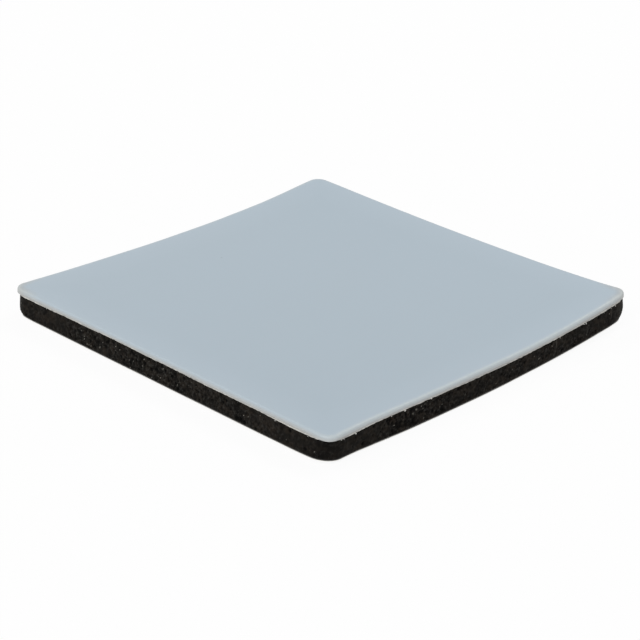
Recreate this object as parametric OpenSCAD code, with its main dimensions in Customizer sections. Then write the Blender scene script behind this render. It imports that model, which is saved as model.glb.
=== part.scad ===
// Square self-adhesive furniture slider, lying with its slip face up.
// It is a laminate: a hard low-friction sheet on foam rubber, with double-sided tape below,
// and a release liner over the tape.
// The pad has curled a little, so its layers are a flat strip with a shallow round curl on each side.
// Origin: the middle of the underside. +Z goes up through the slip face. Lengths are in millimetres.

/* [Pad] */
// Width across the curl, from the gently curled edge to the strongly curled one
pad_w = 80; // [60:1:120]
// Depth along the straight edges
pad_d = 80; // [40:1:120]

/* [Curl] */
// Width of the flat strip that the pad lies on
flat_w = 12; // [6:1:24]
// Height that the gently curled edge stands off the table, on the -X side
gentle_rise = 0.72; // [0.2:0.02:3]
// Height that the strongly curled edge stands off the table, on the +X side
strong_rise = 1.62; // [0.2:0.02:4]

/* [Slip sheet] */
// Thickness of the low-friction sheet
sheet_t = 1; // [0.5:0.05:2]
// Corner radius of the low-friction sheet
sheet_corner_r = 2.5; // [1:0.25:8]

/* [Bond film] */
// Thickness of the laminating adhesive between the sheet and the foam
bond_t = 0.15; // [0.05:0.01:0.4]

/* [Foam base] */
// Thickness of the foam rubber
foam_t = 3.55; // [2:0.05:8]
// Corner radius of the foam, and of the layers that are cut with it
foam_corner_r = 3.5; // [1:0.25:8]

/* [Mounting tape] */
// Thickness of the adhesive coat against the foam
upper_coat_t = 0.06; // [0.04:0.01:0.3]
// Thickness of the film that carries both coats
carrier_t = 0.05; // [0.03:0.01:0.2]
// Thickness of the adhesive coat that sticks to the furniture
lower_coat_t = 0.06; // [0.04:0.01:0.3]

/* [Release liner] */
// Thickness of the siliconised paper
liner_t = 0.1; // [0.05:0.01:0.3]
// Gap between the paper and the adhesive, which lets the paper come off
liner_gap = 0.03; // [0.01:0.01:0.1]

/* [Hidden] */

// Height of the underside of each layer over the flat strip
lower_coat_z = liner_t + liner_gap;
carrier_z = lower_coat_z + lower_coat_t;
upper_coat_z = carrier_z + carrier_t;
foam_z = upper_coat_z + upper_coat_t;
bond_z = foam_z + foam_t;
sheet_z = bond_z + bond_t;

// Width of one curl, from the flat strip to the edge of the underside
curl_run = (pad_w - flat_w) / 2;
// How far a layer's sheet reaches past its outline before it is cut to it
cut_past = 1;
// How far the second bar stands clear of each side, so that no two cuts share a plane
side_clear = 0.02;
// Depth of the sheet before it is cut
sheet_d = pad_d + 2 * cut_past;
// Segments in a full turn of a curl, and of a corner
curl_segments = 720;
corner_segments = 96;

// Angle that a curl turns through, and its radius at the underside
function curl_angle(rise) = 2 * atan(rise / curl_run);
function curl_radius(rise) = curl_run / sin(curl_angle(rise));

// One layer of the pad, low above the underside, cut to the pad's outline from both ends.
// The strongly curled end's bar cuts both sides too, and the other bar stands just clear of them.
module curled_layer(low, thick, corner_r) {
    intersection() {
        curled_sheet(low, thick);
        outline_bar(strong_rise, corner_r, pad_d);
        mirror([1, 0, 0])
            outline_bar(gentle_rise, corner_r, pad_d + 2 * side_clear);
    }
}

// The flat strip and both curls, a little larger than the pad
module curled_sheet(low, thick) {
    translate([-flat_w / 2, -sheet_d / 2, low])
        cube([flat_w, sheet_d, thick]);
    curl(strong_rise, low, thick);
    mirror([1, 0, 0])
        curl(gentle_rise, low, thick);
}

// The curl on the +X side of the flat strip
module curl(rise, low, thick) {
    radius = curl_radius(rise);
    past_angle = asin(cut_past / radius);
    translate([flat_w / 2, 0, radius])
        rotate([90, 0, 0])
            rotate([0, 0, -90])
                rotate_extrude(angle = curl_angle(rise) + past_angle, $fn = curl_segments)
                    translate([radius - low - thick, -sheet_d / 2])
                        square([thick, sheet_d]);
}

// A bar with the outline of the pad's +X end, square to the curled edge and far taller than the pad
module outline_bar(rise, corner_r, depth) {
    radius = curl_radius(rise);
    translate([flat_w / 2, 0, radius])
        rotate([0, -curl_angle(rise), 0])
            translate([0, 0, -radius])
                linear_extrude(height = pad_w, center = true)
                    end_outline(corner_r, depth);
}

// Outline of the pad's end, whose edge lies at x = 0 and which reaches past the other end
module end_outline(corner_r, depth) {
    translate([-2 * pad_w, -depth / 2])
        square([2 * pad_w - corner_r, depth]);
    translate([-2 * pad_w, corner_r - depth / 2])
        square([2 * pad_w, depth - 2 * corner_r]);
    for (side = [-1, 1])
        translate([-corner_r, side * (depth / 2 - corner_r)])
            circle(r = corner_r, $fn = corner_segments);
}

// Siliconised paper over the adhesive
module release_liner() {
    color("ivory")
        curled_layer(0, liner_t, foam_corner_r);
}

// Adhesive that sticks to the furniture
module tape_lower_coat() {
    color("khaki")
        curled_layer(lower_coat_z, lower_coat_t, foam_corner_r);
}

// Film in the middle of the tape
module tape_carrier() {
    color("lightgrey")
        curled_layer(carrier_z, carrier_t, foam_corner_r);
}

// Adhesive that holds the tape to the foam
module tape_upper_coat() {
    color("khaki")
        curled_layer(upper_coat_z, upper_coat_t, foam_corner_r);
}

// Foam rubber slab
module foam_base() {
    color([0.13, 0.12, 0.11])
        curled_layer(foam_z, foam_t, foam_corner_r);
}

// Laminating adhesive under the sheet
module bond_film() {
    color("wheat")
        curled_layer(bond_z, bond_t, foam_corner_r);
}

// Low-friction sheet
module slip_sheet() {
    color([0.69, 0.74, 0.78])
        curled_layer(sheet_z, sheet_t, sheet_corner_r);
}

release_liner();
tape_lower_coat();
tape_carrier();
tape_upper_coat();
foam_base();
bond_film();
slip_sheet();
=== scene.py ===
"""Square self-adhesive furniture slider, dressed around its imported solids.

A hard low-friction sheet is bonded to a slab of foam rubber. Mounting tape covers the slab's underside,
and a release liner covers the tape. Every layer is made flat and then bent to one gently curled form.
Lengths are in metres.
"""
import logging
import math
import random
from dataclasses import dataclass
from enum import Enum
from functools import cached_property

import bmesh
import bpy
from mathutils import Matrix, Vector, kdtree, noise


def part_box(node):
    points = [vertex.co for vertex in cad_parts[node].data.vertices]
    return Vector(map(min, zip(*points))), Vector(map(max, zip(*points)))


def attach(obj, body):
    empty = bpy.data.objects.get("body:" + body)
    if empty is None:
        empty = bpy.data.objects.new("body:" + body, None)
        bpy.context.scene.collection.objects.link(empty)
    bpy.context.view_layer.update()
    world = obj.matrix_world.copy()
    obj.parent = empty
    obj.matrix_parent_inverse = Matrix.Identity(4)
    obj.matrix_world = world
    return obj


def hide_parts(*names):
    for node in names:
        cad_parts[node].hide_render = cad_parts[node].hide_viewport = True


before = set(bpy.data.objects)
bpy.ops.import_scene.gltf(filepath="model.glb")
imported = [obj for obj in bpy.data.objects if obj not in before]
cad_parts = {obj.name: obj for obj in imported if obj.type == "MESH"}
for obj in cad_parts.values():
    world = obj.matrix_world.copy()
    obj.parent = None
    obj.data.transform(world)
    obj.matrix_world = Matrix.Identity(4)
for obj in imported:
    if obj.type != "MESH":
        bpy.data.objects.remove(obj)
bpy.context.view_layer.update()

MM = 0.001
TINY = 1e-7
# Decimals that tell two places apart when points are put in order
PLACE_DIGITS = 6
# The mix node's sockets for two colours, and for their blend
MIX_INPUTS = (6, 7)
MIX_OUTPUT = 2
log = logging.getLogger("slider")

Triple = tuple[float, float, float]
Colour = Triple
Points = tuple[tuple[float, float], ...]
Socket = bpy.types.NodeSocket


def evenly(size: float) -> Triple:
    """Gives the same size along x, y and z."""
    return (size, size, size)


def held(value: float) -> float:
    """Holds a value between 0 and 1."""
    return min(max(value, 0.0), 1.0)


class Body(Enum):
    """The bodies that pieces ride on."""

    PAD = "pad"
    LINER = "liner"


class Slot(Enum):
    """The material slots that the layers name."""

    SLIP_PLASTIC = "slip_plastic"
    LAMINATING_ADHESIVE = "laminating_adhesive"
    FOAM_RUBBER = "foam_rubber"
    TAPE_ADHESIVE = "tape_adhesive"
    TAPE_FILM = "tape_film"
    LINER_PAPER = "liner_paper"


class Mark(Enum):
    """The numbers that a piece's points carry for its finish."""

    CUT_EDGE = "cut_edge"
    INSET = "inset"
    FLECK = "fleck"
    # A highlight painted on the slip sheet's rounded rim
    PAINTED_HIGHLIGHT = "painted_highlight"
    COARSE = "coarse"
    # Shade painted into the foam's pits
    PIT_SHADE = "pit"
    # Light and shade painted on the foam's wall
    PAINTED_LIGHT = "painted_light"


class Edge(Enum):
    """The pad's four edges, by their outward directions."""

    GENTLE = (-1.0, 0.0, 0.0)
    STRONG = (1.0, 0.0, 0.0)
    NEAR = (0.0, -1.0, 0.0)
    FAR = (0.0, 1.0, 0.0)


class Shading:
    """The node tree of one material, with short calls that add nodes and join them."""

    def __init__(self, name: str) -> None:
        """Starts a material with a principled shader.

        Args:
            name: The material's name.
        """
        self.material = bpy.data.materials.new(name)
        self.material.use_nodes = True
        self.tree = self.material.node_tree
        self.shader = self.tree.nodes["Principled BSDF"]
        self.spot = self.add("ShaderNodeTexCoord").outputs["Object"]

    def add(self, kind: str, settings: dict[str, object] | None = None) -> bpy.types.Node:
        """Adds a node.

        Args:
            kind: The node's type.
            settings: Its properties by name.

        Returns:
            The new node.
        """
        node = self.tree.nodes.new(kind)
        for name, value in (settings or {}).items():
            setattr(node, name, value)
        return node

    def feed(self, socket: Socket, value: object) -> None:
        """Joins a socket to another one, or sets it to a plain value.

        Args:
            socket: The input to feed.
            value: An output socket, a number or a colour.
        """
        if isinstance(value, bpy.types.NodeSocket):
            self.tree.links.new(value, socket)
        elif isinstance(value, tuple) and socket.type == "RGBA":
            socket.default_value = (*value, 1.0)
        else:
            socket.default_value = value

    def stretched(self, size: Triple) -> Socket:
        """Gives the place on the piece, measured in steps of a size along each axis.

        Args:
            size: The step along x, y and z.

        Returns:
            The scaled place.
        """
        node = self.add("ShaderNodeMapping")
        self.feed(node.inputs["Vector"], self.spot)
        node.inputs["Scale"].default_value = tuple(1 / step for step in size)
        return node.outputs["Vector"]

    def noise(self, size: Triple, detail: float = 2.0, rough: float = 0.5) -> Socket:
        """Adds soft noise.

        Args:
            size: The size of its blotches along x, y and z.
            detail: How many finer layers it has.
            rough: How strong the finer layers are.

        Returns:
            The noise, about 0.5.
        """
        node = self.add("ShaderNodeTexNoise")
        self.feed(node.inputs["Vector"], self.stretched(size))
        node.inputs["Scale"].default_value = 1.0
        node.inputs["Detail"].default_value = detail
        node.inputs["Roughness"].default_value = rough
        return node.outputs[0]

    def cells(self, size: float) -> tuple[Socket, Socket]:
        """Adds scattered cells.

        Args:
            size: The distance between their middles.

        Returns:
            The distance to the nearest middle in cell sizes, and a random number for that cell.
        """
        node = self.add("ShaderNodeTexVoronoi")
        self.feed(node.inputs["Vector"], self.stretched(evenly(size)))
        node.inputs["Scale"].default_value = 1.0
        split = self.add("ShaderNodeSeparateColor")
        self.feed(split.inputs[0], node.outputs["Color"])
        return node.outputs["Distance"], split.outputs[0]

    def mark(self, mark: Mark) -> Socket:
        """Reads a number that the piece's points carry."""
        node = self.add("ShaderNodeAttribute", {"attribute_name": mark.value})
        return node.outputs["Fac"]

    def ramp(self, value: Socket, start: float, end: float, low: float = 0.0, high: float = 1.0) -> Socket:
        """Maps a range of a value onto another one, softly and with both ends held.

        Args:
            value: The value to map.
            start: Where the range starts.
            end: Where the range ends.
            low: The result at the start.
            high: The result at the end.

        Returns:
            The mapped value.
        """
        node = self.add("ShaderNodeMapRange", {"interpolation_type": "SMOOTHSTEP"})
        for socket, number in zip(node.inputs, (value, start, end, low, high)):
            self.feed(socket, number)
        return node.outputs[0]

    def math(self, kind: str, first: object, second: object) -> Socket:
        """Adds a sum, product or other reckoning of two values.

        Args:
            kind: The reckoning.
            first: A socket or a number.
            second: A socket or a number.

        Returns:
            The result.
        """
        node = self.add("ShaderNodeMath", {"operation": kind})
        self.feed(node.inputs[0], first)
        self.feed(node.inputs[1], second)
        return node.outputs[0]

    def blend(self, share: object, first: object, second: object) -> Socket:
        """Blends two colours.

        Args:
            share: How much of the second colour is in the result.
            first: The colour at a share of 0.
            second: The colour at a share of 1.

        Returns:
            The blended colour.
        """
        node = self.add("ShaderNodeMix", {"data_type": "RGBA"})
        self.feed(node.inputs[0], share)
        for place, colour in zip(MIX_INPUTS, (first, second)):
            self.feed(node.inputs[place], colour)
        return node.outputs[MIX_OUTPUT]

    def bump(self, height: Socket, depth: float, strength: float, under: Socket | None = None) -> Socket:
        """Adds fine relief.

        Args:
            height: The relief, from 0 to 1.
            depth: How deep it is in all.
            strength: How much of it shows.
            under: A coarser relief that it lies on.

        Returns:
            The surface's direction.
        """
        node = self.add("ShaderNodeBump")
        node.inputs["Strength"].default_value = strength
        node.inputs["Distance"].default_value = depth
        self.feed(node.inputs["Height"], height)
        if under is not None:
            self.feed(node.inputs["Normal"], under)
        return node.outputs[0]

    def dress(self, **inputs: object) -> bpy.types.Material:
        """Feeds the shader's inputs, named with _ for each space.

        Args:
            inputs: The values or sockets by input name.

        Returns:
            The finished material.
        """
        for name, value in inputs.items():
            self.feed(self.shader.inputs[name.replace("_", " ")], value)
        return self.material


@dataclass(frozen=True)
class SlipPlastic:
    """Satin blue-grey low-friction plastic, with a more neutral cut edge and a highlight painted along its
    rounded rim.
    """

    face: Colour = (0.397, 0.477, 0.539)
    pale_face: Colour = (0.417, 0.497, 0.562)
    edge: Colour = (0.5, 0.508, 0.5)
    dull_edge: Colour = (0.425, 0.432, 0.425)
    # Colour of the highlight painted on the rounded rim
    highlight_colour: Colour = (0.545, 0.588, 0.585)
    speck: Colour = (0.27, 0.31, 0.35)
    refractive_index: float = 1.38
    cloud_size: Triple = evenly(16 * MM)
    skive_size: Triple = (26 * MM, 0.22 * MM, 4 * MM)
    streak_size: Triple = (2.6 * MM, 2.6 * MM, 0.11 * MM)
    mottle_size: Triple = evenly(0.7 * MM)
    grain_size: Triple = evenly(0.5 * MM)
    speck_spacing: float = 11 * MM
    pale_reach: float = 9 * MM
    worn_reach: float = 2.4 * MM
    relief_depth: float = 0.02 * MM

    def material(self) -> bpy.types.Material:
        """Builds the finish.

        Returns:
            The material.
        """
        look = Shading("satin_slip_plastic")
        cloud = look.noise(self.cloud_size, detail=3.0)
        skive = look.noise(self.skive_size)
        near_rim = look.ramp(look.mark(Mark.INSET), 0.0, self.pale_reach, 0.85, 0.0)
        pale = look.math("ADD", near_rim, look.ramp(cloud, 0.35, 0.7, 0.0, 0.3))
        face = look.blend(pale, self.face, self.pale_face)
        face = look.blend(look.ramp(skive, 0.3, 0.7, 0.0, 0.16), face, self.pale_face)
        distance, pick = look.cells(self.speck_spacing)
        speck = look.math("MULTIPLY", look.ramp(distance, 0.018, 0.03, 1.0, 0.0), look.ramp(pick, 0.55, 0.6))
        face = look.blend(look.math("MULTIPLY", speck, 0.6), face, self.speck)
        streak = look.noise(self.streak_size, detail=3.0, rough=0.6)
        edge = look.blend(look.ramp(streak, 0.38, 0.66), self.dull_edge, self.edge)
        cut = look.mark(Mark.CUT_EDGE)
        colour = look.blend(cut, face, edge)
        mottle = look.noise(self.mottle_size, rough=0.6)
        # Painted highlight along the rounded rim, mottled
        shine = look.math("MULTIPLY", look.mark(Mark.PAINTED_HIGHLIGHT), look.ramp(mottle, 0.3, 0.65, 0.75, 1.1))
        colour = look.blend(shine, colour, self.highlight_colour)
        worn = look.ramp(look.mark(Mark.INSET), 0.0, self.worn_reach, 0.06, 0.0)
        rough = look.math("ADD", look.ramp(cloud, 0.3, 0.7, 0.36, 0.41), look.math("MULTIPLY", cut, 0.2))
        rough = look.math("SUBTRACT", rough, worn)
        grain = look.bump(look.noise(self.grain_size, detail=3.0), self.relief_depth, 0.12)
        lines = look.math("ADD", skive, look.math("MULTIPLY", streak, cut))
        relief = look.bump(lines, self.relief_depth, 0.25, grain)
        return look.dress(Base_Color=colour, Roughness=rough, IOR=self.refractive_index, Normal=relief)


@dataclass(frozen=True)
class CreamAdhesive:
    """Laminating adhesive: a cream line with paler and greyer stretches."""

    pale: Colour = (0.6, 0.59, 0.55)
    grey: Colour = (0.42, 0.415, 0.395)
    patch_size: Triple = (1.8 * MM, 1.8 * MM, 0.5 * MM)
    grain_size: Triple = (0.2 * MM, 0.2 * MM, 0.12 * MM)
    grain_depth: float = 0.04 * MM

    def material(self) -> bpy.types.Material:
        """Builds the finish.

        Returns:
            The material.
        """
        look = Shading("cream_laminating_adhesive")
        patch = look.noise(self.patch_size, detail=3.0, rough=0.6)
        colour = look.blend(look.ramp(patch, 0.36, 0.64), self.grey, self.pale)
        rough = look.ramp(patch, 0.3, 0.7, 0.42, 0.6)
        relief = look.bump(look.noise(self.grain_size), self.grain_depth, 0.4)
        return look.dress(Base_Color=colour, Roughness=rough, Normal=relief)


@dataclass(frozen=True)
class FoamRubber:
    """Brown-black foam rubber with a cut, pitted wall and pale flecks, with shade and highlights painted in.
    """

    body: Colour = (0.0099, 0.0087, 0.0074)
    brown: Colour = (0.0174, 0.014, 0.0109)
    # Colour of the shade painted into pits and sunken grains
    pit: Colour = (0.0022, 0.0021, 0.002)
    grey: Colour = (0.034, 0.0325, 0.0295)
    # Colour of random dark patches, and of the painted shade at the front corner
    dark_patch_and_shade: Colour = (0.0045, 0.0042, 0.0039)
    pale: Colour = (0.3, 0.285, 0.25)
    specular: float = 0.05
    cloud_size: Triple = (1.5 * MM, 1.5 * MM, 1.2 * MM)
    grain_size: Triple = evenly(0.55 * MM)
    patch_size: Triple = (3.6 * MM, 3.6 * MM, 2.4 * MM)
    scratch_size: Triple = (0.3 * MM, 0.3 * MM, 2.6 * MM)
    cell_spacing: float = 0.42 * MM
    relief_depth: float = 0.14 * MM

    def material(self) -> bpy.types.Material:
        """Builds the finish.

        Returns:
            The material.
        """
        look = Shading("flecked_foam_rubber")
        cloud = look.noise(self.cloud_size, rough=0.6)
        grain = look.noise(self.grain_size, rough=0.65)
        patch = look.noise(self.patch_size)
        scratch = look.noise(self.scratch_size, detail=1.0)
        torn = look.ramp(look.mark(Mark.COARSE), 0.0, 0.8, 0.3, 1.0)
        painted_light = look.mark(Mark.PAINTED_LIGHT)
        raised = look.math("MULTIPLY", look.ramp(grain, 0.53, 0.68, 0.0, 0.8), torn)
        # Painted shade in the low parts of the grain relief
        sunken_shade = look.math("MULTIPLY", look.ramp(grain, 0.34, 0.48, 0.9, 0.0), torn)
        colour = look.blend(look.ramp(cloud, 0.42, 0.6), self.body, self.brown)
        colour = look.blend(look.ramp(patch, 0.36, 0.52, 0.6, 0.0), colour, self.dark_patch_and_shade)
        # Painted shade where the mark is below 0, painted highlight where it is above 0
        colour = look.blend(look.ramp(painted_light, -1.0, 0.0, 1.0, 0.0), colour, self.dark_patch_and_shade)
        colour = look.blend(look.ramp(painted_light, 0.0, 1.0), colour, self.grey)
        colour = look.blend(raised, colour, self.grey)
        colour = look.blend(sunken_shade, colour, self.pit)
        colour = look.blend(look.ramp(scratch, 0.64, 0.74, 0.0, 0.4), colour, self.grey)
        # Painted shade in the pits, darkest where they are deepest
        colour = look.blend(look.ramp(look.mark(Mark.PIT_SHADE), 0.3, 0.8, 0.0, 0.9), colour, self.pit)
        colour = look.blend(look.mark(Mark.FLECK), colour, self.pale)
        cell, _ = look.cells(self.cell_spacing)
        height = look.math("MULTIPLY", look.math("ADD", look.ramp(cell, 0.1, 0.6), grain), torn)
        relief = look.bump(height, self.relief_depth, 0.5)
        rough = look.ramp(grain, 0.3, 0.7, 0.95, 0.75)
        return look.dress(Base_Color=colour, Roughness=rough, Specular_IOR_Level=self.specular, Normal=relief)


@dataclass(frozen=True)
class ClearAdhesive:
    """Clear tacky adhesive that looks dark and glossy over the foam, with trapped bubbles."""

    dark: Colour = (0.016, 0.0148, 0.0125)
    hazy: Colour = (0.034, 0.032, 0.028)
    haze_size: Triple = evenly(7 * MM)
    wave_size: Triple = evenly(1.6 * MM)
    wave_depth: float = 0.05 * MM
    bubble_spacing: float = 2.6 * MM
    bubble_depth: float = 0.04 * MM

    def material(self) -> bpy.types.Material:
        """Builds the finish.

        Returns:
            The material.
        """
        look = Shading("clear_tacky_adhesive")
        haze = look.noise(self.haze_size, detail=3.0, rough=0.55)
        distance, pick = look.cells(self.bubble_spacing)
        bubble = look.math("MULTIPLY", look.ramp(distance, 0.1, 0.2, 1.0, 0.0), look.ramp(pick, 0.5, 0.7))
        cloudy = look.math("ADD", look.ramp(haze, 0.4, 0.7, 0.0, 0.6), look.math("MULTIPLY", bubble, 0.4))
        colour = look.blend(cloudy, self.dark, self.hazy)
        rough = look.ramp(haze, 0.35, 0.7, 0.16, 0.3)
        waves = look.bump(look.noise(self.wave_size, detail=3.0), self.wave_depth, 0.35)
        relief = look.bump(bubble, self.bubble_depth, 0.5, waves)
        return look.dress(Base_Color=colour, Roughness=rough, Normal=relief)


@dataclass(frozen=True)
class ClearFilm:
    """The tape's thin clear film, dark over the foam."""

    dark: Colour = (0.02, 0.0195, 0.019)
    hazy: Colour = (0.036, 0.036, 0.036)
    haze_size: Triple = (9 * MM, 1.2 * MM, 4 * MM)
    haze_depth: float = 0.02 * MM

    def material(self) -> bpy.types.Material:
        """Builds the finish.

        Returns:
            The material.
        """
        look = Shading("clear_tape_film")
        haze = look.noise(self.haze_size, detail=3.0)
        colour = look.blend(look.ramp(haze, 0.35, 0.7), self.dark, self.hazy)
        rough = look.ramp(haze, 0.35, 0.7, 0.12, 0.2)
        relief = look.bump(haze, self.haze_depth, 0.2)
        return look.dress(Base_Color=colour, Roughness=rough, Normal=relief)


@dataclass(frozen=True)
class SiliconisedPaper:
    """Off-white release paper with fine fibres and a faint sheen."""

    paper: Colour = (0.84, 0.82, 0.76)
    pale: Colour = (0.87, 0.855, 0.81)
    fibre: Colour = (0.74, 0.715, 0.64)
    cloud_size: Triple = evenly(5 * MM)
    fibre_size: Triple = (1.4 * MM, 0.16 * MM, 1 * MM)
    cross_fibre_size: Triple = (0.18 * MM, 1.2 * MM, 1 * MM)
    fibre_depth: float = 0.02 * MM

    def material(self) -> bpy.types.Material:
        """Builds the finish.

        Returns:
            The material.
        """
        look = Shading("siliconised_paper")
        cloud = look.noise(self.cloud_size, detail=4.0, rough=0.6)
        fibre = look.noise(self.fibre_size, detail=3.0, rough=0.6)
        cross = look.noise(self.cross_fibre_size, detail=3.0, rough=0.6)
        strands = look.math("MAXIMUM", look.ramp(fibre, 0.58, 0.74), look.ramp(cross, 0.6, 0.76))
        colour = look.blend(look.ramp(cloud, 0.35, 0.68), self.paper, self.pale)
        colour = look.blend(look.math("MULTIPLY", strands, 0.35), colour, self.fibre)
        rough = look.ramp(cloud, 0.3, 0.7, 0.42, 0.52)
        relief = look.bump(look.math("ADD", fibre, cross), self.fibre_depth, 0.3)
        return look.dress(Base_Color=colour, Roughness=rough, Normal=relief)


Finish = SlipPlastic | CreamAdhesive | FoamRubber | ClearAdhesive | ClearFilm | SiliconisedPaper


@dataclass(frozen=True)
class PadForm:
    """The curled form that every layer follows: a flat strip with a shallow round curl on each side.

    A place in a layer is given flat. Its x is the distance from the middle over the curl, its y the distance
    from the middle by the straight edges, and its z the height above the pad's underside.
    """

    width: float = 80 * MM
    depth: float = 80 * MM
    flat_width: float = 12 * MM
    gentle_rise: float = 0.72 * MM
    strong_rise: float = 1.62 * MM
    corner_bow: float = 1.02 * MM
    bow_growth: float = 1.3
    near_sharpness: float = 2.8
    far_sharpness: float = 1.7
    far_share: float = 0.9
    middle_drop: float = 1 / 3
    near_sink: float = 0.42 * MM
    sink_reach: float = 9 * MM
    full_height: float = 5 * MM

    @property
    def curl_run(self) -> float:
        """Width of one curl on the table."""
        return (self.width - self.flat_width) / 2

    def curl_angle(self, rise: float) -> float:
        """Angle that a curl of that rise turns through."""
        return 2 * math.atan(rise / self.curl_run)

    def curl_radius(self, rise: float) -> float:
        """Radius of a curl of that rise, at the underside."""
        return self.curl_run / math.sin(self.curl_angle(rise))

    def reach(self, rise: float) -> float:
        """Distance over the curl from the middle to the edge of that rise."""
        return self.flat_width / 2 + self.curl_radius(rise) * self.curl_angle(rise)

    def bow(self, spot: Vector) -> Vector:
        """Finds how the strongly curled edge bows, its corners up and its middle down.

        Args:
            spot: A flat place.

        Returns:
            The shift that the bow gives that place.
        """
        past = max(spot.x - self.flat_width / 2, 0.0) / self.curl_run
        side = spot.y / (self.depth / 2)
        power, share = (self.near_sharpness, 1.0) if side < 0 else (self.far_sharpness, self.far_share)
        growth = past ** self.bow_growth
        steepness = self.bow_growth * past ** (self.bow_growth - 1) / self.curl_run
        shape = share * abs(side) ** power - self.middle_drop
        lean = math.copysign(share * power * abs(side) ** (power - 1), side) / (self.depth / 2)
        slope_across = self.corner_bow * steepness * shape
        slope_along = self.corner_bow * growth * lean
        return Vector((-spot.z * slope_across, -spot.z * slope_along, self.corner_bow * growth * shape))

    def sink(self, spot: Vector) -> Vector:
        """Finds how far the nearest corner is pressed down, most at the slip face and not at all below.

        Args:
            spot: A flat place.

        Returns:
            The shift that the pressing gives that place.
        """
        away = math.hypot(spot.x + self.reach(self.gentle_rise), spot.y + self.depth / 2)
        share = max(1 - away / self.sink_reach, 0.0) ** 2
        return Vector((0.0, 0.0, -self.near_sink * share * spot.z / self.full_height))

    def place(self, spot: Vector) -> Vector:
        """Bends a flat place to the curled form.

        Args:
            spot: A flat place.

        Returns:
            The place on the curled pad.
        """
        rise = self.strong_rise if spot.x > 0 else self.gentle_rise
        flat = min(abs(spot.x), self.flat_width / 2)
        radius = self.curl_radius(rise)
        turn = (abs(spot.x) - flat) / radius
        x = math.copysign(flat + (radius - spot.z) * math.sin(turn), spot.x)
        z = radius - (radius - spot.z) * math.cos(turn)
        return Vector((x, spot.y, z)) + self.bow(spot) + self.sink(spot)


@dataclass(frozen=True)
class EdgeTable:
    """A value that changes along the outline, by place in millimetres from the middle of each edge.

    Where they aren't given, the strongly curled edge follows the gently curled one, and the far edge
    follows the near one.
    """

    gentle: Points
    near: Points
    strong: Points | None = None
    far: Points | None = None
    unit: float = MM

    @staticmethod
    def between(points: Points, place: float) -> float:
        """Reads a table between its points.

        Args:
            points: The places and values, in order.
            place: Where to read it.

        Returns:
            The value there.
        """
        for (start, first), (end, second) in zip(points, points[1:]):
            if place <= end:
                share = held((place - start) / (end - start))
                return first + (second - first) * share
        return points[-1][1]

    def at(self, spot: Vector, outward: Vector) -> float:
        """Reads the value at a place on the outline.

        Args:
            spot: A flat place on the wall.
            outward: The outline's outward direction there.

        Returns:
            The value there, in the table's unit.
        """
        curled = self.strong if self.strong and outward.x > 0 else self.gentle
        straight = self.far if self.far and outward.y > 0 else self.near
        across = self.between(curled, spot.y / MM) * outward.x ** 2
        along = self.between(straight, spot.x / MM) * outward.y ** 2
        return self.unit * (across + along)


# How far the lower edge of the cut wall stands out
FLARE = EdgeTable(
    gentle=((-40, 0.04), (-36, 0.08), (-33, 0.0), (-30, 0.01), (-25, 0.07), (-12, 0.06), (-5, 0.11),
            (4, 0.08), (12, 0.13), (36, 0.14), (40, 0.1)),
    near=((-40, 0.02), (-38, -0.12), (-36, -0.25), (-33, -0.38), (-29, -0.1), (-21, 0.11), (-2, 0.15),
          (4, 0.06), (7, -0.07), (10, -0.12), (30, -0.1), (40, 0.0)))
# How far the foam is smeared up over the sheet's wall
SMEAR = EdgeTable(
    gentle=((-38, 0.0), (-35, -0.09), (-31, -0.09), (-28, 0.0), (-24, 0.07), (-11, 0.05), (-5, 0.15),
            (-2, 0.18), (1, 0.12), (6, 0.22), (14, 0.26), (18, 0.13), (22, 0.15), (33, -0.02), (38, 0.0)),
    near=((-38, 0.05), (-34, 0.0), (-30, 0.13), (-24, 0.18), (-18, 0.18), (-9, 0.08), (-6, 0.0),
          (-1, 0.02), (2, -0.03), (8, 0.06), (22, 0.05), (26, 0.0), (33, -0.07), (38, 0.0)))
# How far the whole pad is cut outside its outline, which skews its corners and waves its far edge
TRIM = EdgeTable(
    gentle=((-40, -0.3), (-36, -0.2), (-33, 0.0)),
    near=((-40, 0.35), (-35, 0.3), (-28, 0.0)),
    strong=((-40, 0.2), (-34, 0.0), (34, 0.0), (40, -0.12)),
    far=((-40, 0.05), (-35, 0.12), (-15, 0.0), (-4, -0.16), (5, 0.0), (15, 0.14), (24, 0.07),
         (34, 0.28), (40, 0.2)))
# How strongly a highlight is painted on the sheet's rounded rim, weaker along the gently curled edge than
# along the near one
PAINTED_HIGHLIGHT = EdgeTable(
    gentle=((-40, 0.9), (-35, 0.4), (-30, 0.3), (32, 0.3), (38, 1.0)),
    near=((-40, 1.15), (40, 1.25)),
    unit=1.0)
# How far the paler edge colour is painted over the sheet's side tips, as a painted highlight
PALE_TIPS = EdgeTable(
    gentle=((33, 0.0), (38, 1.0)),
    near=((33, 0.0), (38, 1.0)),
    strong=((-38, 1.0), (-33, 0.0)),
    far=((-38, 1.0), (-33, 0.0)),
    unit=1.0)
# How coarsely the foam is cut, from 0 for a clean cut to 1 for a torn one
COARSE = EdgeTable(
    gentle=((-37, 0.0), (-34, 0.2), (-22, 0.5), (-8, 0.75), (0, 0.85), (10, 0.8), (13, 0.5), (16, 0.5),
            (18, 0.9), (21, 0.9), (24, 0.3), (28, 0.15)),
    near=((-36, 0.0), (-28, 0.3), (-24, 0.9), (-18, 1.0), (-12, 0.85), (-9, 0.4), (-4, 0.3), (0, 0.6),
          (8, 0.45), (26, 0.4), (30, 0.2)),
    unit=1.0)
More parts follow.
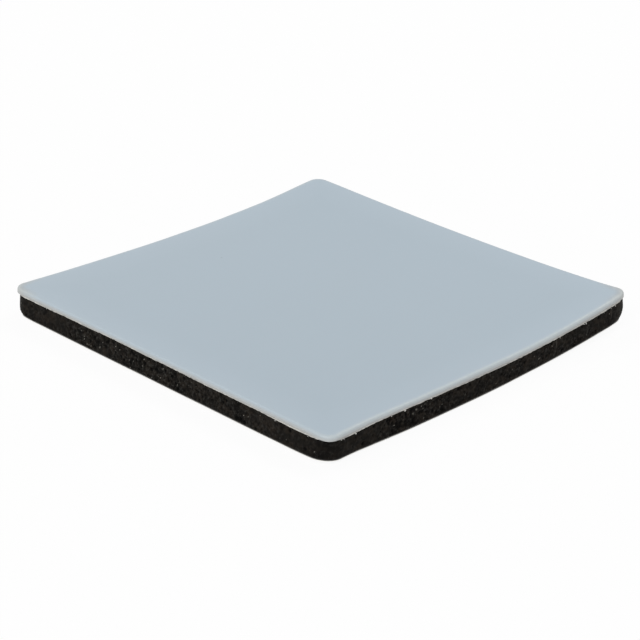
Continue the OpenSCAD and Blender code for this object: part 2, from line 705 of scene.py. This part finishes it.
# Light and shade painted on the foam, from -1 for painted shade at the front corner to 1 for a painted
# highlight at the side tips; the gently curled wall is painted a little lighter
PAINTED_LIGHT = EdgeTable(
    gentle=((-40, -0.6), (-36, -0.45), (-34, 0.04), (36, 0.04), (39, 0.6)),
    near=((-40, -0.6), (-36, -0.4), (-34, 0.0), (34, 0.0), (39, 1.0)),
    strong=((-40, 1.0), (-34, 0.4), (-28, 0.0)),
    far=((-40, 0.5), (-34, 0.0)),
    unit=1.0)


@dataclass(frozen=True)
class CornerCut:
    """How the wall is cut at one corner.

    The wall stands out of its outline, and is tucked in below up to a share of its height.
    """

    stand: float
    tuck: float
    height: float


# The foam's corners by the signs of their places, and how far from a corner its cut reaches
CORNERS = {
    (1, -1): CornerCut(stand=0.18 * MM, tuck=1.25 * MM, height=0.66),
    (-1, 1): CornerCut(stand=-0.24 * MM, tuck=0.85 * MM, height=0.34),
    (-1, -1): CornerCut(stand=0.0, tuck=0.25 * MM, height=0.65),
    (1, 1): CornerCut(stand=0.1 * MM, tuck=0.9 * MM, height=0.6),
}
CORNER_REACH = 6 * MM


@dataclass(kw_only=True)
class Layer:
    """One layer of the laminate, made flat and then bent to the pad's form.

    A point within wall_slack of the outline lies on the wall, and a face belongs to the wall while its
    normal rises by less than wall_tilt. No grid line runs closer to an edge than least_cell of a step.
    """

    form: PadForm
    node: str
    name: str
    slot: Slot
    finish: Finish
    thickness: float
    body: Body = Body.PAD
    corner_radius: float = 3.5 * MM
    corner_steps: int = 8
    grid_step: float = 4 * MM
    wall_slack: float = 0.03 * MM
    least_cell: float = 0.25
    wall_tilt: float = 0.5
    sharp_angle: float = 40.0

    @cached_property
    def low(self) -> float:
        """Height of the layer's underside over the flat strip."""
        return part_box(self.node)[0].z

    @property
    def high(self) -> float:
        """Height of the layer's upper side over the flat strip."""
        return self.low + self.thickness

    @cached_property
    def span(self) -> tuple[float, float]:
        """The flat places of the gently and the strongly curled edges."""
        return -self.form.reach(self.form.gentle_rise), self.form.reach(self.form.strong_rise)

    def core(self, spot: Vector) -> Vector:
        """Finds the nearest point of the outline's core, which is the outline less its corner radius.

        Args:
            spot: A flat place.

        Returns:
            The core's nearest point at the same height.
        """
        left, right = self.span
        side = self.form.depth / 2 - self.corner_radius
        across = min(max(spot.x, left + self.corner_radius), right - self.corner_radius)
        return Vector((across, min(max(spot.y, -side), side), spot.z))

    def outward(self, spot: Vector) -> Vector:
        """Gives the outline's outward direction at a flat place on the wall."""
        return (spot - self.core(spot)).normalized()

    def inset(self, spot: Vector) -> float:
        """Finds how far inside the outline a flat place lies.

        Args:
            spot: A flat place.

        Returns:
            The distance to the outline, 0 on it.
        """
        left, right = self.span
        side = self.form.depth / 2
        beside = min(spot.x - left, right - spot.x, side - abs(spot.y))
        past_core = (spot - self.core(spot)).length
        return self.corner_radius - past_core if past_core > TINY else beside

    def undercut(self, spot: Vector, level: float) -> float:
        """Finds how far the cut wall stands out of its outline.

        Args:
            spot: A flat place on the wall.
            level: The place's share of the wall's height.

        Returns:
            The distance that the wall stands out, negative where it is cut under.
        """
        left, right = self.span
        aside = spot.x - left if spot.x < 0 else right - spot.x
        away = math.hypot(aside, self.form.depth / 2 - abs(spot.y))
        corner_share = max(1 - away / CORNER_REACH, 0.0) ** 2
        cut = CORNERS[int(math.copysign(1, spot.x)), int(math.copysign(1, spot.y))]
        depth = held(1 - level / cut.height)
        under = 1 - math.sqrt(1 - depth * depth)
        flare = FLARE.at(spot, self.outward(spot)) * (1 - level) ** 2
        return flare + corner_share * (cut.stand - cut.tuck * under)

    def flat_block(self) -> bmesh.types.BMesh:
        """Makes the layer flat, with round corners.

        Returns:
            A closed block whose underside lies at the layer's height.
        """
        left, right = self.span
        mesh = bmesh.new()
        bmesh.ops.create_grid(mesh, x_segments=1, y_segments=1, size=0.5)
        bmesh.ops.scale(mesh, vec=(right - left, self.form.depth, 1.0), verts=mesh.verts[:])
        bmesh.ops.translate(mesh, vec=((right + left) / 2, 0.0, self.low), verts=mesh.verts[:])
        bmesh.ops.bevel(mesh, geom=mesh.verts[:], offset=self.corner_radius, offset_type="OFFSET",
                        segments=self.corner_steps, profile=0.5, affect="VERTICES", material=-1)
        raised = bmesh.ops.extrude_face_region(mesh, geom=mesh.faces[:])["geom"]
        top = [item for item in raised if isinstance(item, bmesh.types.BMVert)]
        bmesh.ops.translate(mesh, vec=(0.0, 0.0, self.thickness), verts=top)
        bmesh.ops.recalc_face_normals(mesh, faces=mesh.faces[:])
        return mesh

    def round_rim(self, mesh: bmesh.types.BMesh, height: float, radius: float, steps: int) -> None:
        """Rounds the rim at one height of a block that has no grid yet.

        Args:
            mesh: The block.
            height: The rim's height.
            radius: How far the rounding reaches.
            steps: How many faces it has.
        """
        rim = [edge for edge in mesh.edges if all(abs(vert.co.z - height) < TINY for vert in edge.verts)]
        bmesh.ops.bevel(mesh, geom=rim, offset=radius, offset_type="OFFSET", segments=steps, profile=0.5,
                        affect="EDGES", material=-1)

    def cut_grid(self, mesh: bmesh.types.BMesh) -> None:
        """Cuts a block into cells, so that it can bend.

        Args:
            mesh: The block.
        """
        side = self.form.depth / 2
        margin = self.least_cell * self.grid_step
        for axis, low, high in (((1.0, 0.0, 0.0), *self.span), ((0.0, 1.0, 0.0), -side, side)):
            for step in range(math.ceil(low / self.grid_step), math.floor(high / self.grid_step) + 1):
                cut = step * self.grid_step
                if low + margin < cut < high - margin:
                    bmesh.ops.bisect_plane(mesh, geom=mesh.verts[:] + mesh.edges[:] + mesh.faces[:],
                                           dist=TINY, plane_co=Vector(axis) * cut, plane_no=axis)

    @staticmethod
    def number_layers(mesh: bmesh.types.BMesh, *marks: Mark) -> list[bmesh.types.BMLayerItem]:
        """Adds a layer for each mark, in which a mesh's points carry its number."""
        return [mesh.verts.layers.float.new(mark.value) for mark in marks]

    @staticmethod
    def climb(edge: bmesh.types.BMEdge) -> float:
        """Gives the difference in height between an edge's ends."""
        return abs(edge.verts[0].co.z - edge.verts[1].co.z)

    def upright(self, face: bmesh.types.BMFace) -> bool:
        """Tells whether a face belongs to the wall."""
        return abs(face.normal.z) < self.wall_tilt

    def refine_wall(self, mesh: bmesh.types.BMesh, step: float, rows: int) -> list[bmesh.types.BMVert]:
        """Cuts the block's wall into small faces.

        Args:
            mesh: The block, with its grid.
            step: The length of a face along the wall.
            rows: How many faces lie over each other.

        Returns:
            The wall's points, put in order by place so that every run draws the same marks.
        """
        tall = [edge for edge in mesh.edges if self.climb(edge) > self.thickness / 2]
        bmesh.ops.subdivide_edges(mesh, edges=tall, cuts=rows - 1)
        mesh.normal_update()
        by_cuts: dict[int, list[bmesh.types.BMEdge]] = {}
        for edge in mesh.edges:
            if self.climb(edge) < TINY and any(self.upright(face) for face in edge.link_faces):
                by_cuts.setdefault(round(edge.calc_length() / step) - 1, []).append(edge)
        for cuts, edges in sorted(by_cuts.items()):
            if cuts > 0:
                bmesh.ops.subdivide_edges(mesh, edges=edges, cuts=cuts)
        mesh.normal_update()
        wall = [vert for vert in mesh.verts if any(self.upright(face) for face in vert.link_faces)]
        return sorted(wall, key=lambda vert: vert.co.to_tuple(PLACE_DIGITS))

    def model(self) -> bmesh.types.BMesh:
        """Makes the layer flat, with all its detail.

        Returns:
            The layer's closed mesh.
        """
        mesh = self.flat_block()
        self.cut_grid(mesh)
        for vert in mesh.verts:
            if self.inset(vert.co) < self.wall_slack:
                vert.co += self.outward(vert.co) * self.undercut(vert.co, 0.0)
        return mesh

    def build(self) -> bpy.types.Object:
        """Makes the piece, dresses it and joins it to the frame.

        Returns:
            The finished piece.
        """
        mesh = self.model()
        for vert in mesh.verts:
            outward = self.outward(vert.co)
            share = max(1 - self.inset(vert.co) / self.corner_radius, 0.0)
            vert.co = self.form.place(vert.co + outward * TRIM.at(vert.co, outward) * share)
        bmesh.ops.recalc_face_normals(mesh, faces=mesh.faces[:])
        data = bpy.data.meshes.new(self.name)
        mesh.to_mesh(data)
        mesh.free()
        data.shade_smooth()
        data.set_sharp_from_angle(angle=math.radians(self.sharp_angle))
        data.materials.append(self.finish.material())
        piece = bpy.data.objects.new(self.name, data)
        bpy.context.scene.collection.objects.link(piece)
        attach(piece, self.body.value)
        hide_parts(self.node)
        return piece


@dataclass(kw_only=True)
class SlipSheet(Layer):
    """The hard low-friction sheet, with a soft rounded upper rim.

    The colour of the cut edge sets in over tint_depth below the face. A highlight is painted on the rim,
    down the wall and in over the face, each as far as a given reach.
    """

    node: str = "slip_sheet"
    name: str = "low_friction_sheet"
    slot: Slot = Slot.SLIP_PLASTIC
    finish: Finish = SlipPlastic()
    thickness: float = 1.0 * MM
    corner_radius: float = 2.5 * MM
    corner_steps: int = 10
    grid_step: float = 1 * MM
    upper_round: float = 0.45 * MM
    upper_steps: int = 6
    lower_round: float = 0.08 * MM
    lower_steps: int = 2
    roll_drop: float = 0.01 * MM
    roll_steps: tuple[float, ...] = (0.16 * MM, 0.2 * MM, 0.26 * MM, 0.34 * MM, 0.44 * MM)
    rim_wander: float = 0.02 * MM
    rim_wander_length: float = 2.2 * MM
    tint_depth: tuple[float, float] = (0.08 * MM, 0.75 * MM)
    highlight_reach: tuple[float, float] = (0.62 * MM, 1.05 * MM)
    pale_tip_reach: float = 1.8 * MM

    def roll_edge(self, mesh: bmesh.types.BMesh) -> None:
        """Insets rings into the slip face and lowers them towards its rim.

        Args:
            mesh: The sheet, with its rims rounded.
        """
        face = max(mesh.faces, key=lambda face: face.calc_center_median().z)
        for step in self.roll_steps:
            bmesh.ops.inset_region(mesh, faces=[face], thickness=step, use_even_offset=True)
        run = self.upper_round + sum(self.roll_steps)
        for vert in mesh.verts:
            share = held(1 - self.inset(vert.co) / run)
            height = (vert.co.z - self.low) / self.thickness
            vert.co.z -= self.roll_drop * share * share * height

    def model(self) -> bmesh.types.BMesh:
        """Makes the sheet flat, with its rounded rims and the numbers that its finish reads.

        Returns:
            The sheet's closed mesh.
        """
        mesh = self.flat_block()
        self.round_rim(mesh, self.high, self.upper_round, self.upper_steps)
        self.round_rim(mesh, self.low, self.lower_round, self.lower_steps)
        self.roll_edge(mesh)
        self.cut_grid(mesh)
        cut_edge, inset, painted_highlight = self.number_layers(mesh, Mark.CUT_EDGE, Mark.INSET, Mark.PAINTED_HIGHLIGHT)
        start, end = self.tint_depth
        reach_down, reach_in = self.highlight_reach
        for vert in mesh.verts:
            below_face = self.high - vert.co.z
            outward = self.outward(vert.co)
            vert[inset] = max(self.inset(vert.co), 0.0)
            share = held((below_face - start) / (end - start))
            # The side tips take the paler edge colour as a painted highlight
            tip_share = max(1 - vert[inset] / self.pale_tip_reach, 0.0)
            vert[cut_edge] = max(share * share * (3 - 2 * share), PALE_TIPS.at(vert.co, outward) * tip_share)
            # The painted highlight fades down the wall and in over the face
            highlight_falloff = max(1 - below_face / reach_down, 0.0) * max(1 - vert[inset] / reach_in, 0.0) ** 2
            vert[painted_highlight] = highlight_falloff * PAINTED_HIGHLIGHT.at(vert.co, outward)
            if below_face > self.roll_drop and vert[inset] < self.upper_round:
                vert.co += outward * self.rim_wander * noise.noise(vert.co / self.rim_wander_length)
        return mesh


@dataclass(frozen=True)
class WallMark:
    """One mark that stands out on a wall.

    Its place is measured along its edge from the middle, and its level as a share of the wall's height.
    Its size is the radius of a crumb, pit or fleck, or the height of an upright scratch.
    """

    edge: Edge
    place: float
    level: float
    size: float

    def middle(self, layer: Layer) -> Vector:
        """Finds the mark's flat place on a layer's wall.

        Args:
            layer: The layer that has the mark.

        Returns:
            The middle of the mark.
        """
        outward = Vector(self.edge.value)
        left, right = layer.span
        reach = Vector((right if outward.x > 0 else -left, layer.form.depth / 2, 0.0))
        aside = Vector((abs(outward.y), abs(outward.x), 0.0)) * self.place
        return outward * reach + aside + Vector((0.0, 0.0, layer.low + self.level * layer.thickness))


def wall_marks(edge: Edge, *rows: Triple) -> tuple[WallMark, ...]:
    """Makes several marks on one edge.

    Args:
        edge: The edge that has them.
        rows: Each mark's place in millimetres, its level and its size in millimetres.

    Returns:
        The marks, in that order.
    """
    return tuple(WallMark(edge, place * MM, level, size * MM) for place, level, size in rows)


@dataclass(kw_only=True)
class BondLine(Layer):
    """The laminating adhesive, with an uneven edge and small beads pressed out of it.

    The beads sit where the edge lies lower than bead_rows of the thickness. Each is stretched at random
    within bead_width and bead_height.
    """

    node: str = "bond_film"
    name: str = "laminating_adhesive_line"
    slot: Slot = Slot.LAMINATING_ADHESIVE
    finish: Finish = CreamAdhesive()
    thickness: float = 0.15 * MM
    wall_step: float = 0.3 * MM
    wall_rows: int = 2
    proud: float = 0.045 * MM
    proud_change: float = 0.4
    dip: float = 0.1 * MM
    jag_length: float = 0.8 * MM
    bead_rows: float = 0.25
    beads: int = 16
    bead_size: tuple[float, float] = (0.06 * MM, 0.12 * MM)
    bead_stand: float = 0.06 * MM
    bead_drop: float = 0.15 * MM
    bead_width: tuple[float, float] = (0.7, 1.3)
    bead_height: tuple[float, float] = (0.7, 1.2)
    crumbs: tuple[WallMark, ...] = (
        *wall_marks(Edge.GENTLE, (-28.7, 0.0, 0.15), (-35.9, 0.0, 0.12)),
        *wall_marks(Edge.NEAR, (-36.3, 0.0, 0.14), (-33.5, -0.3, 0.15), (-24.8, 0.0, 0.12),
                    (-21.5, -0.3, 0.17), (-15, 0.0, 0.15), (27, -0.8, 0.2)),
    )
    seed: int = 11

    def press_out(self, mesh: bmesh.types.BMesh, edge_spots: list[Vector]) -> None:
        """Adds the small beads and the larger crumbs that were pressed out of the edge.

        Args:
            mesh: The film, with its uneven edge.
            edge_spots: The places of its lower edge.
        """
        chance = random.Random(self.seed)
        beads = [(spot, chance.uniform(*self.bead_size)) for spot in chance.sample(edge_spots, self.beads)]
        for crumb in self.crumbs:
            spot = crumb.middle(self)
            beads.append((spot + Vector((0.0, 0.0, SMEAR.at(spot, self.outward(spot)))), crumb.size))
        for spot, size in beads:
            squash = [chance.uniform(*part) for part in (self.bead_width, self.bead_width, self.bead_height)]
            drop = Vector((0.0, 0.0, -chance.uniform(0.0, self.bead_drop)))
            middle = spot + self.outward(spot) * self.bead_stand + drop
            shape = Matrix.Translation(middle) @ Matrix.Diagonal((*squash, 1.0))
            bmesh.ops.create_icosphere(mesh, subdivisions=1, radius=size, matrix=shape)

    def model(self) -> bmesh.types.BMesh:
        """Makes the film flat, with its uneven edge and its beads.

        Returns:
            The film's closed mesh, with the beads on it.
        """
        mesh = self.flat_block()
        self.cut_grid(mesh)
        wall = self.refine_wall(mesh, self.wall_step, self.wall_rows)
        for vert in wall:
            jag = noise.noise(vert.co / self.jag_length)
            outward = self.outward(vert.co)
            lift = SMEAR.at(vert.co, outward)
            lowest = vert.co.z < self.low + TINY
            vert.co += outward * self.proud * (1 + self.proud_change * jag)
            vert.co.z += lift - self.dip * max(jag, 0.0) if lowest else max(lift, 0.0)
        highest = self.low + self.bead_rows * self.thickness
        self.press_out(mesh, [vert.co.copy() for vert in wall if vert.co.z < highest])
        return mesh


@dataclass(frozen=True)
class Dents:
    """Round dents or crumbs of many sizes, scattered over a wall."""

    count: int
    radius: tuple[float, float]
    depth: float
    seed: int

    def over(self, spots: list[Vector], weights: list[float],
             nicks: list[tuple[Vector, float]]) -> list[float]:
        """Finds the dents' depth at each place of a wall.

        Args:
            spots: The wall's places.
            weights: How many dents each place draws.
            nicks: The middles and radii of more dents.

        Returns:
            The depth at each place.
        """
        chance = random.Random(self.seed)
        smallest, largest = self.radius
        radii = [smallest + (largest - smallest) * chance.random() ** 2 for _ in range(self.count)]
        middles = chance.choices(spots, weights, k=self.count) + [middle for middle, _ in nicks]
        radii += [radius for _, radius in nicks]
        tree = kdtree.KDTree(len(middles))
        for index, middle in enumerate(middles):
            tree.insert(middle, index)
        tree.balance()
        depths = []
        for spot in spots:
            near = tree.find_range(spot, max(radii))
            shares = [(1 - (gap / radii[index]) ** 2) * radii[index] / largest for _, index, gap in near]
            depths.append(self.depth * max([0.0, *shares]))
        return depths


@dataclass(kw_only=True)
class FoamSlab(Layer):
    """The foam rubber slab, whose cut wall is full of pits, crumbs and scratches.

    The pits and crumbs fade out over hold_share of the wall's height at each rim. The upper lip_share of it
    is smeared over the sheet's wall.
    """

    node: str = "foam_base"
    name: str = "foam_rubber_slab"
    slot: Slot = Slot.FOAM_RUBBER
    finish: Finish = FoamRubber()
    thickness: float = 3.55 * MM
    corner_steps: int = 10
    wall_step: float = 0.15 * MM
    wall_rows: int = 24
    swell: float = 0.1 * MM
    wander: float = 0.04 * MM
    wander_length: float = 3.0 * MM
    scratch: float = 0.018 * MM
    scratch_size: tuple[float, float] = (0.35 * MM, 2.5 * MM)
    smear_proud: float = 0.07 * MM
    smear_jag: float = 0.13 * MM
    smear_jag_length: float = 0.55 * MM
    pits: Dents = Dents(count=1500, radius=(0.15 * MM, 0.5 * MM), depth=0.3 * MM, seed=3)
    crumbs: Dents = Dents(count=1300, radius=(0.2 * MM, 0.4 * MM), depth=0.12 * MM, seed=5)
    patch_size: float = 2.6 * MM
    patch_share: float = 0.3
    least_weight: float = 0.04
    flecks: int = 220
    fleck_stand: float = 0.04 * MM
    fleck_seed: int = 8
    nicks: tuple[WallMark, ...] = (
        *wall_marks(Edge.GENTLE, (-19.8, 0.12, 0.6), (-20.7, 0.15, 0.65), (-21.6, 0.1, 0.55)),
        *wall_marks(Edge.NEAR, (-31.3, 0.25, 0.5), (-25.3, 0.7, 0.45), (-22.4, 0.5, 0.55),
                    (20.2, 0.18, 0.5), (24.9, 0.3, 0.45)),
    )
    scratches: tuple[WallMark, ...] = wall_marks(
        Edge.NEAR, (18.4, 0.75, 1.5), (-26.1, 0.78, 1.2), (34.4, 0.7, 1.2))
    bright_flecks: tuple[WallMark, ...] = (
        *wall_marks(Edge.GENTLE, (20.3, 0.7, 0.2), (19.2, 0.5, 0.18), (15, 0.32, 0.2), (10.7, 0.55, 0.2),
                    (3.6, 0.46, 0.2), (-5.2, 0.33, 0.24)),
        *wall_marks(Edge.NEAR, (-19.4, 0.67, 0.22), (-18.6, 0.8, 0.24), (-16.6, 0.17, 0.2),
                    (-6.2, 0.43, 0.22), (13.5, 0.44, 0.22)),
    )
    bright_pale: float = 0.6
    scratch_width: float = 0.12 * MM
    scratch_pale: float = 0.1
    hold_share: float = 0.125
    lip_share: float = 0.1
    fill: float = 1.0

    def coarseness(self, spot: Vector) -> float:
        """Finds how coarsely the wall is cut at a place.

        Args:
            spot: A flat place on the wall.

        Returns:
            From 0 for a clean cut to 1 for a torn one.
        """
        patch = noise.noise(spot / self.patch_size)
        return held(COARSE.at(spot, self.outward(spot)) + self.patch_share * patch)

    def mark_wall(self, wall: list[bmesh.types.BMVert], fleck: bmesh.types.BMLayerItem) -> None:
        """Marks the bright flecks and the pale upright scratches on the wall's points.

        Args:
            wall: The wall's points, still flat.
            fleck: The layer that holds their paleness.
        """
        for bright in self.bright_flecks:
            middle = bright.middle(self)
            for vert in wall:
                share = 1 - (vert.co - middle).length / bright.size
                vert[fleck] = max(vert[fleck], self.bright_pale * share)
        for scratch in self.scratches:
            middle = scratch.middle(self)
            for vert in wall:
                gap = vert.co - middle
                if abs(gap.z) < scratch.size / 2 and math.hypot(gap.x, gap.y) < self.scratch_width:
                    vert[fleck] = max(vert[fleck], self.scratch_pale)

    def relief(self, spot: Vector, level: float) -> float:
        """Finds how far the cut wall stands out at a place, apart from its pits and crumbs.

        Args:
            spot: A flat place on the wall.
            level: Its share of the wall's height.

        Returns:
            The distance that the wall stands proud there.
        """
        thin, long = self.scratch_size
        lines = noise.noise(Vector((spot.x / thin, spot.y / thin, spot.z / long)))
        soft = noise.noise(spot / self.wander_length)
        bulge = self.swell * (1 - (2 * level - 1) ** 2)
        return bulge + self.wander * soft + self.scratch * lines

    def model(self) -> bmesh.types.BMesh:
        """Makes the slab flat, with its cut wall and the numbers that its finish reads.

        Returns:
            The slab's closed mesh.
        """
        mesh = self.flat_block()
        self.cut_grid(mesh)
        fleck, coarse, pit_shade, painted_light = self.number_layers(mesh, Mark.FLECK, Mark.COARSE, Mark.PIT_SHADE, Mark.PAINTED_LIGHT)
        wall = self.refine_wall(mesh, self.wall_step, self.wall_rows)
        spots = [vert.co.copy() for vert in wall]
        weights = [self.coarseness(spot) ** 2 + self.least_weight for spot in spots]
        chance = random.Random(self.fleck_seed)
        for vert in chance.choices(wall, weights, k=self.flecks):
            vert[fleck] = chance.random() ** 2
        self.mark_wall(wall, fleck)
        nicks = [(nick.middle(self), nick.size) for nick in self.nicks]
        pits = self.pits.over(spots, weights, nicks)
        crumbs = self.crumbs.over(spots, weights, [])
        for vert, spot, pit, crumb in zip(wall, spots, pits, crumbs):
            vert[coarse] = self.coarseness(spot)
            # How deep the pit is here, for the shade painted into it
            vert[pit_shade] = pit / self.pits.depth
            level = (spot.z - self.low) / self.thickness
            hold = min(level / self.hold_share, (1 - level) / self.hold_share, 1.0)
            lip = max(1 - (1 - level) / self.lip_share, 0.0)
            outward = self.outward(spot)
            # Light and shade painted on the wall, from the table
            vert[painted_light] = PAINTED_LIGHT.at(spot, outward)
            stand = self.relief(spot, level) + hold * (crumb - pit) + self.fleck_stand * vert[fleck]
            stand += self.undercut(spot, level) + self.smear_proud * lip
            jag = self.smear_jag * noise.noise(spot / self.smear_jag_length)
            vert.co += outward * stand
            vert.co.z += (SMEAR.at(spot, outward) + jag) * lip
        return mesh

    def build(self) -> bpy.types.Object:
        return super().build()


@dataclass(kw_only=True)
class ReleaseLiner(Layer):
    """The siliconised paper over the tape's adhesive."""

    node: str = "release_liner"
    name: str = "release_paper"
    slot: Slot = Slot.LINER_PAPER
    finish: Finish = SiliconisedPaper()
    thickness: float = 0.1 * MM
    body: Body = Body.LINER
    grid_step: float = 2 * MM


@dataclass(frozen=True)
class MountingTape:
    """The double-sided tape: a clear film with an adhesive coat on each side."""

    form: PadForm
    coat_thickness: float = 0.06 * MM
    coat_grid: float = 2 * MM
    film_thickness: float = 0.05 * MM

    def coat(self, node: str, name: str) -> Layer:
        """Describes one adhesive coat.

        Args:
            node: The solid that it stands for.
            name: The piece's name.

        Returns:
            The coat.
        """
        return Layer(form=self.form, node=node, name=name, slot=Slot.TAPE_ADHESIVE, finish=ClearAdhesive(),
                     thickness=self.coat_thickness, grid_step=self.coat_grid)

    def layers(self) -> list[Layer]:
        """Lists the tape's layers.

        Returns:
            The layers from the bottom up.
        """
        film = Layer(form=self.form, node="tape_carrier", name="clear_carrier_film", slot=Slot.TAPE_FILM,
                     finish=ClearFilm(), thickness=self.film_thickness)
        lower = self.coat("tape_lower_coat", "lower_adhesive_coat")
        return [lower, film, self.coat("tape_upper_coat", "upper_adhesive_coat")]


@dataclass(frozen=True)
class PhotoCamera:
    """The camera at the photograph's viewing angle, found from the pad's outline."""

    azimuth: float = -46.1506
    elevation: float = 24.6401
    roll: float = 1.5581
    distance: float = 368.63 * MM
    aim_height: float = 0.13 * MM
    image_px: float = 640.0
    focal_px: float = 2009.78
    middle_px: tuple[float, float] = (1.378, -0.305)
    sensor: float = 36.0
    nearest: float = 10 * MM

    def build(self) -> bpy.types.Object:
        """Makes the scene's camera.

        Returns:
            The camera.
        """
        turn, tilt, lean = (math.radians(angle) for angle in (self.azimuth, self.elevation, self.roll))
        back = Vector((math.sin(turn) * math.cos(tilt), -math.cos(turn) * math.cos(tilt), math.sin(tilt)))
        level = Vector((math.cos(turn), math.sin(turn), 0.0))
        upright = back.cross(level)
        right = level * math.cos(lean) + upright * math.sin(lean)
        up = upright * math.cos(lean) - level * math.sin(lean)
        lens = bpy.data.cameras.new("photo_camera")
        lens.sensor_width = self.sensor
        lens.lens = self.focal_px / self.image_px * self.sensor
        lens.shift_x = -self.middle_px[0] / self.image_px
        lens.shift_y = self.middle_px[1] / self.image_px
        lens.clip_start = self.nearest
        camera = bpy.data.objects.new("photo_camera", lens)
        aim = Vector((0.0, 0.0, self.aim_height))
        axes = Matrix((right, up, back)).transposed().to_4x4()
        camera.matrix_world = Matrix.Translation(aim + back * self.distance) @ axes
        bpy.context.scene.collection.objects.link(camera)
        bpy.context.scene.camera = camera
        return camera


@dataclass(frozen=True)
class SoftLight:
    """One large soft lamp that faces the pad."""

    name: str
    toward: Triple
    level: float
    size: float
    distance: float = 1.2

    def build(self) -> bpy.types.Object:
        """Makes the lamp.

        Returns:
            The lamp, whose level is the brightness that it gives a white face turned to it.
        """
        lamp = bpy.data.lights.new(self.name, "AREA")
        lamp.shape = "DISK"
        lamp.size = self.size
        lamp.energy = self.level * (math.pi * self.distance) ** 2
        light = bpy.data.objects.new(self.name, lamp)
        direction = Vector(self.toward).normalized()
        light.location = direction * self.distance
        light.rotation_euler = direction.to_track_quat("Z", "Y").to_euler()
        bpy.context.scene.collection.objects.link(light)
        return light


@dataclass(frozen=True)
class Studio:
    """A plain white floor and soft light."""

    floor_size: float = 6.0
    floor_drop: float = 0.02 * MM
    floor_white: Colour = (0.95, 0.95, 0.95)
    glow: float = 0.92
    ambient: float = 0.5
    lights: tuple[SoftLight, ...] = (
        SoftLight("key_light", toward=(-0.9, -0.33, 0.85), level=0.46, size=2.7, distance=3.6),
        SoftLight("back_light", toward=(-0.217, 0.63, 0.746), level=0.08, size=0.4),
        SoftLight("side_light", toward=(0.655, 0.05, 0.75), level=0.16, size=0.4),
    )

    def seen_directly(self, tree: bpy.types.NodeTree) -> Socket:
        """Adds a value that is 1 for rays from the camera, mirrors and glass.

        Args:
            tree: The node tree that gets it.

        Returns:
            The value.
        """
        path = tree.nodes.new("ShaderNodeLightPath")
        total = path.outputs["Is Camera Ray"]
        for name in ("Is Glossy Ray", "Is Transmission Ray"):
            node = tree.nodes.new("ShaderNodeMath")
            node.operation = "MAXIMUM"
            tree.links.new(total, node.inputs[0])
            tree.links.new(path.outputs[name], node.inputs[1])
            total = node.outputs[0]
        return total

    def build_world(self) -> None:
        """Sets an even soft light all round, seen as white."""
        world = bpy.data.worlds.new("white_room")
        world.use_nodes = True
        tree = world.node_tree
        level = tree.nodes.new("ShaderNodeMapRange")
        tree.links.new(self.seen_directly(tree), level.inputs[0])
        level.inputs["To Min"].default_value = self.ambient
        level.inputs["To Max"].default_value = 1.0
        background = tree.nodes["Background"]
        background.inputs["Color"].default_value = (1.0, 1.0, 1.0, 1.0)
        tree.links.new(level.outputs[0], background.inputs["Strength"])
        bpy.context.scene.world = world

    def floor_material(self) -> bpy.types.Material:
        """Makes a white floor that keeps a soft shadow and can be seen through from below.

        Returns:
            The floor's material.
        """
        material = bpy.data.materials.new("white_floor")
        material.use_nodes = True
        tree = material.node_tree
        tree.nodes.remove(tree.nodes["Principled BSDF"])
        matte = tree.nodes.new("ShaderNodeBsdfDiffuse")
        matte.inputs["Color"].default_value = (*self.floor_white, 1.0)
        white = tree.nodes.new("ShaderNodeEmission")
        share = tree.nodes.new("ShaderNodeMath")
        share.operation = "MULTIPLY"
        share.inputs[1].default_value = self.glow
        tree.links.new(self.seen_directly(tree), share.inputs[0])
        lit = tree.nodes.new("ShaderNodeMixShader")
        side = tree.nodes.new("ShaderNodeMixShader")
        tree.links.new(share.outputs[0], lit.inputs[0])
        tree.links.new(matte.outputs[0], lit.inputs[1])
        tree.links.new(white.outputs[0], lit.inputs[2])
        tree.links.new(tree.nodes.new("ShaderNodeNewGeometry").outputs["Backfacing"], side.inputs[0])
        tree.links.new(lit.outputs[0], side.inputs[1])
        tree.links.new(tree.nodes.new("ShaderNodeBsdfTransparent").outputs[0], side.inputs[2])
        tree.links.new(side.outputs[0], tree.nodes["Material Output"].inputs["Surface"])
        return material

    def build(self) -> None:
        """Makes the floor, the world and the lamps."""
        mesh = bmesh.new()
        bmesh.ops.create_grid(mesh, x_segments=1, y_segments=1, size=self.floor_size / 2)
        bmesh.ops.translate(mesh, vec=(0.0, 0.0, -self.floor_drop), verts=mesh.verts[:])
        data = bpy.data.meshes.new("floor")
        mesh.to_mesh(data)
        mesh.free()
        data.materials.append(self.floor_material())
        floor = bpy.data.objects.new("floor", data)
        bpy.context.scene.collection.objects.link(floor)
        self.build_world()
        for light in self.lights:
            light.build()
        bpy.context.scene.view_settings.view_transform = "Standard"


def main() -> None:
    """Builds the camera, the layers from the bottom up and the studio."""
    logging.basicConfig(level=logging.INFO, format="%(name)s: %(message)s")
    form = PadForm()
    PhotoCamera().build()
    layers = [ReleaseLiner(form=form), *MountingTape(form).layers(), FoamSlab(form=form), BondLine(form=form),
              SlipSheet(form=form)]
    for layer in layers:
        piece = layer.build()
        log.info("%s stands for %s, with %d faces", piece.name, layer.node, len(piece.data.polygons))
    Studio().build()


if __name__ == "__main__":
    main()
